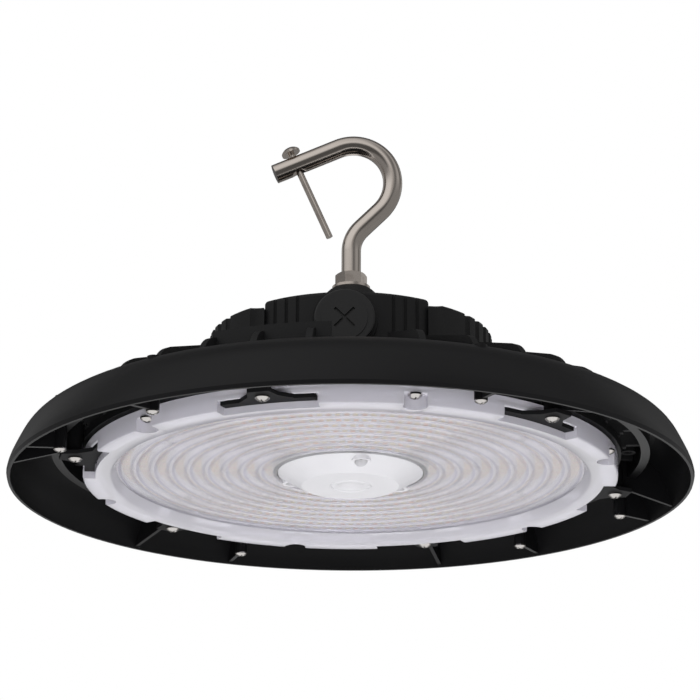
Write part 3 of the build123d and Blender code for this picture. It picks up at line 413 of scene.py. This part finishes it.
def lens_profile(angle, steps=10, fillet_steps=4):
    """The closed section of the lens at an angle, always with the same number of points."""
    points = []
    for left, right in zip(RING_EDGES, RING_EDGES[1:]):
        points += ring_arc(left, right, steps)
    edge = RING_EDGES[-1]
    cut_r, cut_z = notch_at(angle)
    floor_z = POCKET_FLOOR_Z if in_pocket(angle) else LENS_TOP_Z
    points += [(edge, LENS_FACE_Z), (edge + RIM_STEP, RIM_STEP_Z), (edge + RIM_START, LENS_BOTTOM_Z)]
    points += [(cut_r, LENS_BOTTOM_Z), (cut_r, cut_z)]
    for i in range(fillet_steps + 1):
        turn = math.pi / 2 * i / fillet_steps
        inwards = RIM_FILLET * (1 - math.sin(turn))
        upwards = RIM_FILLET * (1 - math.cos(turn))
        points.append((LENS_R - inwards, cut_z + upwards))
    points += [
        (LENS_R, LENS_TOP_Z), (LENS_R - LENS_WALL, LENS_TOP_Z), (LENS_R - LENS_WALL, floor_z),
        (SEAL_RIB_OUT_R, floor_z), (SEAL_RIB_OUT_R, LENS_TOP_Z), (SEAL_RIB_IN_R, LENS_TOP_Z),
        (SEAL_RIB_IN_R, LENS_INSIDE_Z), (LENS_BORE_R + LENS_WALL, LENS_INSIDE_Z),
        (LENS_BORE_R + LENS_WALL, BORE_TOP_Z), (LENS_BORE_R, BORE_TOP_Z),
    ]
    return points


print("points in the lens section:", len(lens_profile(0.0)))


# %% Turn the profile into the lens
STATIONS = 480
WALL_EDGE = 0.03
WELD = 0.000002


def lens_stations():
    """Angles to place the section at: an even set, and pairs close to each side wall of a cut."""
    walls = []
    for clip in CLIP_ANGLES:
        for half in (CLIP_POCKET_HALF, CLIP_POCKET_HALF + POCKET_MARGIN):
            walls += [clip - half, clip + half]
        for half in (SCREW_NOTCH_HALF, SCREW_NOTCH_HALF + POCKET_MARGIN):
            walls += [clip + SCREW_TURN - half, clip + SCREW_TURN + half]
    angles = [wall + side * WALL_EDGE for wall in walls for side in (-1, 1)]
    for i in range(STATIONS):
        angle = 360 * i / STATIONS
        if all(apart(angle, wall) > 3 * WALL_EDGE for wall in walls):
            angles.append(angle)
    return sorted(a % 360 for a in angles)


def mesh_object(name, bm, sharp=35.0):
    """An object from a bmesh, smooth except at edges sharper than a number of degrees."""
    mesh = bpy.data.meshes.new(name)
    bm.to_mesh(mesh)
    bm.free()
    mesh.shade_smooth()
    mesh.set_sharp_from_angle(angle=math.radians(sharp))
    made = bpy.data.objects.new(name, mesh)
    bpy.context.scene.collection.objects.link(made)
    print(name, "has", sum(len(p.vertices) - 2 for p in mesh.polygons), "triangles")
    return made


def make_lens():
    """The section at each station, joined into one closed skin. Faces outside the rings are rim."""
    bm = bmesh.new()
    rows = []
    for angle in lens_stations():
        turn = math.radians(angle)
        rows.append([
            bm.verts.new((MM * r * math.cos(turn), MM * r * math.sin(turn), MM * z))
            for r, z in lens_profile(angle)])
    for row, after in zip(rows, rows[1:] + rows[:1]):
        for i in range(len(row)):
            j = (i + 1) % len(row)
            face = bm.faces.new((row[i], after[i], after[j], row[j]))
            face.material_index = int(face.calc_center_median().xy.length > MM * RING_EDGES[-1])
    bmesh.ops.remove_doubles(bm, verts=bm.verts, dist=WELD)
    bmesh.ops.dissolve_degenerate(bm, edges=bm.edges, dist=WELD)
    bmesh.ops.recalc_face_normals(bm, faces=bm.faces)
    return mesh_object("ring_lens", bm)


ring_lens = make_lens()
for material in (lens_milky, rim_milky):
    ring_lens.data.materials.append(material)
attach(ring_lens, "root")
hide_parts("lens")

# %% [markdown]
# Light chips
#
# The solids hold a few chips for each ring, because a thousand tiny blocks would be no use to a machine
# shop. The photo shows them as short bars a little over 4 mm apart, orange and pale yellow in turn. Each is
# a cream cup with a phosphor window sunk into it, made once as twelve points and repeated round nine
# circles.


# %% Chip finishes
def phosphor(warm, pale):
    """Paint of a chip: two tones of fine grain."""
    def paint(start):
        at = place(start)
        return {
            "Base Color": blend(warm, pale, noise(at, 0.0012)),
            "Normal": bump(noise(at, 0.0004), 0.00002),
        }
    return paint


amber_window = finish(
    "chip_amber_window", {"Roughness": 0.35}, phosphor((0.80, 0.27, 0.05), (0.88, 0.36, 0.09)))
yellow_window = finish(
    "chip_yellow_window", {"Roughness": 0.35}, phosphor((0.82, 0.60, 0.11), (0.90, 0.70, 0.20)))
cup_cream = finish(
    "chip_cup_cream", {"Roughness": 0.5}, phosphor((0.84, 0.74, 0.60), (0.90, 0.82, 0.69)))

# %% Sizes of the chips
BOARD_BOTTOM_Z = 12.4
CHIP_LONG = 3.5
CHIP_WIDE = 2.8
CHIP_T = 0.8
CHIP_PITCH = 4.3
WINDOW_MARGIN = 0.2
WINDOW_SINK = 0.12


def add_chip(bm, turn, radius, tone):
    """One chip under the board: a cup and a sunk window, with its long side pointing outwards."""
    spin = Matrix.Rotation(turn, 4, "Z")
    low = BOARD_BOTTOM_Z - CHIP_T

    def rectangle(grow, z):
        half_long = CHIP_LONG / 2 + grow
        half_wide = CHIP_WIDE / 2 + grow
        return [
            bm.verts.new(spin @ Vector((MM * (radius + a * half_long), MM * b * half_wide, MM * z)))
            for a, b in ((-1, -1), (1, -1), (1, 1), (-1, 1))]

    top = rectangle(0.0, BOARD_BOTTOM_Z)
    mouth = rectangle(0.0, low)
    window = rectangle(-WINDOW_MARGIN, low + WINDOW_SINK)
    bm.faces.new(top)
    for i in range(4):
        j = (i + 1) % 4
        bm.faces.new((top[i], top[j], mouth[j], mouth[i]))
        bm.faces.new((mouth[i], mouth[j], window[j], window[i]))
    bm.faces.new(window[::-1]).material_index = tone


# %% Nine rings of chips
def make_chip_ring(number):
    """All chips of one ring, the two tones in turn. Gives their number."""
    radius = RING_FIRST_R + RING_PITCH * (number + 0.5)
    count = 2 * round(math.pi * radius / CHIP_PITCH)
    bm = bmesh.new()
    for i in range(count):
        add_chip(bm, 2 * math.pi * i / count, radius, 1 + i % 2)
    bmesh.ops.recalc_face_normals(bm, faces=bm.faces)
    chips = mesh_object(f"chip_ring_{number + 1}", bm, 20.0)
    for material in (cup_cream, amber_window, yellow_window):
        chips.data.materials.append(material)
    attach(chips, "root")
    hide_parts(f"led_ring_{number + 1}")
    return count


print("chips:", sum(make_chip_ring(number) for number in range(RING_COUNT)))

# %% [markdown]
# The hook's own coordinates
#
# The hook is a bent rod with a drilled tip, and its solid has the right form already. The piece here is a
# copy of that mesh with one thing added: a UV map. For each point it holds how far along the centre line the
# point is, and how far around the rod. The centre line is made again from the bend radii and slopes.

# %% Centre line of the hook
ROD_DIA = 10.0
HOOK_TURN = 2.5
HOOK_FOOT_Z = 92.0
BEND_R = 17.5
SLOPE = 45.0
SIDE_R = 22.2
TOP_R = 20.2
TOP_FROM = 20.0
LOOP_CENTRE = (-0.8, 164.0)
TIP_SLOPE = 23.65
TIP_LEN = 35.8


def polar(centre, radius, degrees):
    """A point at a distance and an angle from a centre."""
    turn = math.radians(degrees)
    return (centre[0] + radius * math.cos(turn), centre[1] + radius * math.sin(turn))


def arc(centre, radius, start, stop, steps=24):
    """Points along an arc between two angles."""
    return [polar(centre, radius, start + (stop - start) * i / steps) for i in range(steps + 1)]


def hook_line():
    """Points along the hook, in metres, from its foot to its tip."""
    side = arc(LOOP_CENTRE, SIDE_R, -SLOPE, TOP_FROM)
    top = arc(polar(LOOP_CENTRE, SIDE_R - TOP_R, TOP_FROM), TOP_R, TOP_FROM, 90 + TIP_SLOPE)
    slope = math.radians(SLOPE)
    bend_x = BEND_R * (1 - math.cos(slope))
    bend_z = side[0][1] - (side[0][0] - bend_x) / math.tan(slope) - BEND_R * math.sin(slope)
    bend = arc((BEND_R, bend_z), BEND_R, 180, 180 - SLOPE)
    tip = polar(top[-1], TIP_LEN, 180 + TIP_SLOPE)
    spin = Matrix.Rotation(math.radians(HOOK_TURN), 4, "Z")
    points = [(0, HOOK_FOOT_Z)] + bend + side + top + [tip]
    return [spin @ Vector((MM * x, 0, MM * z)) for x, z in points]


line = hook_line()
print("hook centre line:", round(sum((b - a).length for a, b in zip(line, line[1:])) / MM), "mm")


# %% Copy the hook with coordinates along and around it
def along_and_around(point, line, side):
    """Distance along the line and around it, both in metres, for a point near it."""
    best = None
    run = 0.0
    for a, b in zip(line, line[1:]):
        step = b - a
        length = step.length
        if length > 1e-9:
            share = min(1.0, max(0.0, (point - a).dot(step) / length ** 2))
            off = point - a - step * share
            if best is None or off.length < best[0]:
                best = (off.length, run + share * length, off, step / length)
            run += length
    across = best[3].cross(side)
    return best[1], math.atan2(best[2].dot(side), best[2].dot(across)) * ROD_DIA * MM / 2


def make_hook_rod():
    """The copy with its UV map. A face across the seam takes the turn that its first corner is on."""
    mesh = frame["nodes"]["hook"].data.copy()
    mesh.name = "hook_rod"
    side = Matrix.Rotation(math.radians(HOOK_TURN), 3, "Z") @ Vector((0, 1, 0))
    places = [along_and_around(vertex.co, line, side) for vertex in mesh.vertices]
    layer = mesh.uv_layers.new(name="along_rod")
    turn = math.pi * ROD_DIA * MM
    for polygon in mesh.polygons:
        first = places[polygon.vertices[0]][1]
        for loop in polygon.loop_indices:
            along, around = places[mesh.loops[loop].vertex_index]
            layer.data[loop].uv = (along, around + turn * round((first - around) / turn))
    rod = bpy.data.objects.new("hook_rod", mesh)
    bpy.context.scene.collection.objects.link(rod)
    rod.data.materials.clear()
    rod.data.materials.append(rod_steel)
    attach(rod, "root")
    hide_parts("hook")
    return rod


hook_rod = make_hook_rod()
print("hook_rod has", len(hook_rod.data.polygons), "faces")

# %% [markdown]
# White parts behind the lens
#
# The light board is aluminium under a white solder mask, and it throws stray light back through the lens,
# which is what makes the rings pale between the chips. The centre cover is a thicker, frosted white
# moulding.


# %% Board and centre cover
CELLS_PER_METRE = 90.0
TRACK_WIDTH = (0.0, 0.05)


def solder_mask(start):
    """White mask, a little darker and lower along the tracks between its cells."""
    at = place(start)
    cells = at.node(
        "ShaderNodeTexVoronoi", {"feature": "DISTANCE_TO_EDGE"}, {"Vector": at, "Scale": CELLS_PER_METRE})
    return {
        "Base Color": blend((0.80, 0.80, 0.81), (0.93, 0.93, 0.93), cells.rise(*TRACK_WIDTH)),
        "Roughness": 0.42 + 0.1 * noise(at, 0.004),
        "Normal": bump(cells.rise(*TRACK_WIDTH), 0.00004),
    }


def frosted(start):
    """Frosted white with a faint haze."""
    at = place(start)
    frost = noise(at, 0.0005, 2.0)
    haze = noise(at, 0.015)
    return {
        "Base Color": blend((0.75, 0.745, 0.78), (0.82, 0.815, 0.85), haze),
        "Roughness": 0.36 + 0.12 * frost,
        "Normal": bump(frost, 0.00003),
    }


board_white = finish("board_white_mask", {}, solder_mask)
cover_frosted = finish("cover_frosted_white", {"Transmission Weight": 0.18, "IOR": 1.5}, frosted)

# %% [markdown]
# What is inside
#
# Nothing of the driver shows while the light is closed, but the pieces are there when someone takes the
# housing off, so they get plain finishes of their own: green mask with tracks, ferrite, sleeved cans, and
# silicone.


# %% Driver and seal finishes
def driver_mask(start):
    """Green mask with a raised grid of tracks."""
    at = place(start)
    tracks = at.node(
        "ShaderNodeTexBrick", None, {"Vector": at, "Scale": 60.0, "Mortar Size": 0.012}, "Fac")
    return {
        "Base Color": blend((0.012, 0.09, 0.035), (0.03, 0.17, 0.07), tracks),
        "Roughness": 0.3 + 0.15 * noise(at, 0.003),
        "Normal": bump(tracks, 0.00004),
    }


def grainy(dark, light, period, gloss, depth):
    """Paint of a plain part: two tones of grain, with gloss and relief from the same grain."""
    def paint(start):
        grain = noise(place(start), period, 3.0)
        return {
            "Base Color": blend(dark, light, grain),
            "Roughness": gloss + 0.15 * (grain - 0.5),
            "Normal": bump(grain, depth),
        }
    return paint


driver_green = finish("driver_green_mask", {}, driver_mask)
ferrite = finish(
    "ferrite_matt", {}, grainy((0.010, 0.010, 0.011), (0.030, 0.029, 0.028), 0.0015, 0.7, 0.00008))
can_black = finish(
    "can_sleeve_black", {}, grainy((0.010, 0.010, 0.018), (0.020, 0.020, 0.034), 0.004, 0.3, 0.00003))
terminal_green = finish(
    "terminal_green", {}, grainy((0.015, 0.10, 0.03), (0.025, 0.14, 0.045), 0.003, 0.4, 0.00002))
lead_red = finish(
    "lead_red_silicone", {}, grainy((0.38, 0.012, 0.010), (0.50, 0.020, 0.015), 0.002, 0.5, 0.00003))
silicone = finish(
    "seal_silicone", {}, grainy((0.020, 0.020, 0.020), (0.040, 0.040, 0.040), 0.001, 0.65, 0.00004))

# %% [markdown]
# Give each solid its finish
#
# The packed record says which slot each solid belongs to, so one table from slot to finish dresses them all.
# Only the material slot of a solid is touched: its shape and place stay as packed.

# %% Dress the solids
FINISH_OF_SLOT = {
    "shroud_plastic": shroud_black,
    "cast_metal": coated_black,
    "plug_plastic": plug_black,
    "clip_plastic": clip_black,
    "lens_plastic": lens_milky,
    "cover_plastic": cover_frosted,
    "stainless": nut_steel,
    "screw_steel": screw_steel,
    "seal_rubber": silicone,
    "board_white": board_white,
    "chip_phosphor": yellow_window,
    "board_green": driver_green,
    "ferrite": ferrite,
    "can_sleeve": can_black,
    "terminal_plastic": terminal_green,
    "lead_jacket": lead_red,
}
dressed = 0
for subpart in frame["record"]["subparts"]:
    node = frame["nodes"][subpart["node"]]
    for slot in node.material_slots:
        slot.material = FINISH_OF_SLOT[subpart["material_slot"]]
        dressed += 1
print("slots dressed:", dressed, "of", sum(len(node.material_slots) for node in frame["nodes"].values()))

# %% [markdown]
# The floor
#
# The light hangs and the photo looks up at it, so the floor lies well below the camera. It is pale and
# large, and throws light up at the lens. Mirror images don't show it: they look at the world instead.

# %% Floor
FLOOR_Z = -3.0
FLOOR_HALF = 30.0


def pale_floor(start):
    """Pale grey with a slow drift of tone."""
    tone = noise(place(start), 0.8)
    return {
        "Base Color": blend((0.84, 0.84, 0.84), (0.87, 0.87, 0.87), tone),
        "Roughness": 0.7 + 0.1 * tone,
    }


bm = bmesh.new()
bmesh.ops.create_grid(bm, x_segments=8, y_segments=8, size=FLOOR_HALF)
floor = mesh_object("floor", bm)
floor.location = (0, 0, FLOOR_Z)
floor.visible_glossy = False
floor.data.materials.append(finish("floor_pale", {"Specular IOR Level": 0.2}, pale_floor))

# %% [markdown]
# A white world with a dark studio in its mirror
#
# Satin black looks black only where it mirrors something dark, and steel looks like steel only where light
# and dark lie side by side in it. The background has to stay white all the same. So the world is white for
# the camera, for soft light and for rays that pass through the lens, and mirror images alone show a studio.
# It has a large light in front and above with a black card in it, a bright one behind and below the horizon
# for the lens, edge lights at the far sides and a faint glow from the sides. Straight below it stays white,
# where the screw heads look. A ray that frosted plastic lets through counts as glossy and as transmitted at
# once, so both marks are asked.

# %% World
WHITE = 1.0
DARK = 0.11
FRONT_LIGHT = 0.42
FRONT_UP = (0.10, 0.45)
FRONT_AWAY = (-0.20, 0.35)
KEY_SIDE = (-0.50, -0.70, 0.50)
KEY_LIGHT = 0.45
KEY_REACH = (0.45, 1.0)
CARD_SHADE = 0.75
CARD_LEFT = (0.10, 0.50)
CARD_RIGHT = (0.58, 0.85)
CARD_AWAY = (-0.5, -0.1)
BEHIND_LIGHT = 0.85
BEHIND_ASIDE = (0.12, 0.25)
BEHIND_AWAY = (0.0, 0.25)
BEHIND_UP = (-0.20, -0.05)
FAR_ASIDE = (0.35, 0.60)
EDGE_LIGHT = 0.35
EDGE_AWAY = (0.3, 0.6)
EDGE_UP = (0.10, 0.30)
GLOW_LIGHT = 0.20
GLOW_UP = (0.10, 0.40)
BELOW_UP = (-0.75, -0.50)


def make_world():
    """White, apart from mirror images. Each pair above says where a light comes in or fades out."""
    world = bpy.data.worlds.new("studio")
    world.use_nodes = True
    start = Signal(world.node_tree)
    background = world.node_tree.nodes["Background"]
    direction = start.node("ShaderNodeTexCoord", output="Generated")
    across = direction.node("ShaderNodeSeparateXYZ", None, {"Vector": direction})
    away = across.twin("Y")
    up = across.twin("Z")
    aside = across.maths("ABSOLUTE", across)
    key = direction.node(
        "ShaderNodeVectorMath", {"operation": "DOT_PRODUCT"}, {0: direction, 1: KEY_SIDE}, "Value")
    card = across.rise(*CARD_LEFT) * (1 - across.rise(*CARD_RIGHT)) * (1 - away.rise(*CARD_AWAY))
    lit = (FRONT_LIGHT + KEY_LIGHT * key.rise(*KEY_REACH)) * (1 - CARD_SHADE * card)
    front = lit * up.rise(*FRONT_UP) * (1 - away.rise(*FRONT_AWAY))
    low_back = away.rise(*BEHIND_AWAY) * (1 - up.rise(*BEHIND_UP))
    behind = BEHIND_LIGHT * (1 - aside.rise(*BEHIND_ASIDE)) * low_back
    edges = EDGE_LIGHT * aside.rise(*FAR_ASIDE) * away.rise(*EDGE_AWAY) * up.rise(*EDGE_UP)
    glow = GLOW_LIGHT * aside.rise(*FAR_ASIDE) * (1 - up.rise(*GLOW_UP))
    below = 1 - up.rise(*BELOW_UP)
    glossy = start.node("ShaderNodeLightPath", output="Is Glossy Ray")
    through = glossy.twin("Is Transmission Ray")
    mirrored = glossy * (1 - through) * (1 - below)
    strength = WHITE - (WHITE - DARK - front - behind - edges - glow) * mirrored
    world.node_tree.links.new(strength.socket, background.inputs["Strength"])
    background.inputs["Color"].default_value = (1, 1, 1, 1)
    bpy.context.scene.world = world


make_world()
print("world:", bpy.context.scene.world.name)

# %% [markdown]
# Lamps
#
# The world alone lights everything evenly, so three square soft boxes give the forms some shade. Two warm
# ones stand left and right above the light, and a white one low in front reaches the upright walls of the
# lens rim.


# %% Lamps
LAMP_AIM = (0, 0, 0.04)
WARM = (1.0, 0.94, 0.87)
NEUTRAL = (1.0, 1.0, 1.0)


def soft_box(name, place_at, size, power, colour):
    """A square area lamp that looks at the middle of the light and shows in no mirror image."""
    lamp = bpy.data.lights.new(name, "AREA")
    lamp.size = size
    lamp.energy = power
    lamp.color = colour
    made = bpy.data.objects.new(name, lamp)
    made.location = place_at
    made.rotation_euler = (Vector(LAMP_AIM) - Vector(place_at)).to_track_quat("-Z", "Y").to_euler()
    made.visible_glossy = False
    bpy.context.scene.collection.objects.link(made)
    print(name, power, "W at", place_at)


soft_box("left_box", (-1.4, -0.3, 0.8), 2.0, 9.0, WARM)
soft_box("right_box", (1.4, -0.3, 0.8), 2.0, 9.0, WARM)
soft_box("under_box", (0.0, -1.2, -0.85), 1.4, 12.0, NEUTRAL)

# %% [markdown]
# Camera
#
# Place, tilt and focal length come from a fit of the rim, the clips and the screw circles. The camera stands
# 1.5 m off, a little under the light, and looks up at it.

# %% Camera at the photo's angle
CAMERA_FAR = 1.5108
CAMERA_BELOW = 15.734
CAMERA_PITCH = 18.333
CAMERA_YAW = 2.518
CAMERA_TURN = 2.5
CAMERA_ROLL = 0.215
CAMERA_LIFT = 0.0005
LENS_LENGTH = 154.35
SENSOR = 36.0

camera = bpy.data.objects.new("camera", bpy.data.cameras.new("camera"))
camera.data.lens = LENS_LENGTH
camera.data.sensor_width = SENSOR
below = math.radians(CAMERA_BELOW)
stand = Matrix.Rotation(math.radians(CAMERA_TURN), 4, "Z") @ Vector(
    (0, -CAMERA_FAR * math.cos(below), -CAMERA_FAR * math.sin(below)))
look = (
    Matrix.Rotation(math.radians(CAMERA_YAW), 4, "Z")
    @ Matrix.Rotation(math.radians(90 + CAMERA_PITCH), 4, "X")
    @ Matrix.Rotation(math.radians(CAMERA_ROLL), 4, "Z"))
camera.matrix_world = Matrix.Translation(stand + Vector((0, 0, CAMERA_LIFT))) @ look
bpy.context.scene.collection.objects.link(camera)
bpy.context.scene.camera = camera
print("camera at", [round(v, 3) for v in camera.location])

# %% [markdown]
# Plain colours
#
# The Standard view shows each colour about as it is written.

# %% Plain colours
bpy.context.scene.view_settings.view_transform = "Standard"
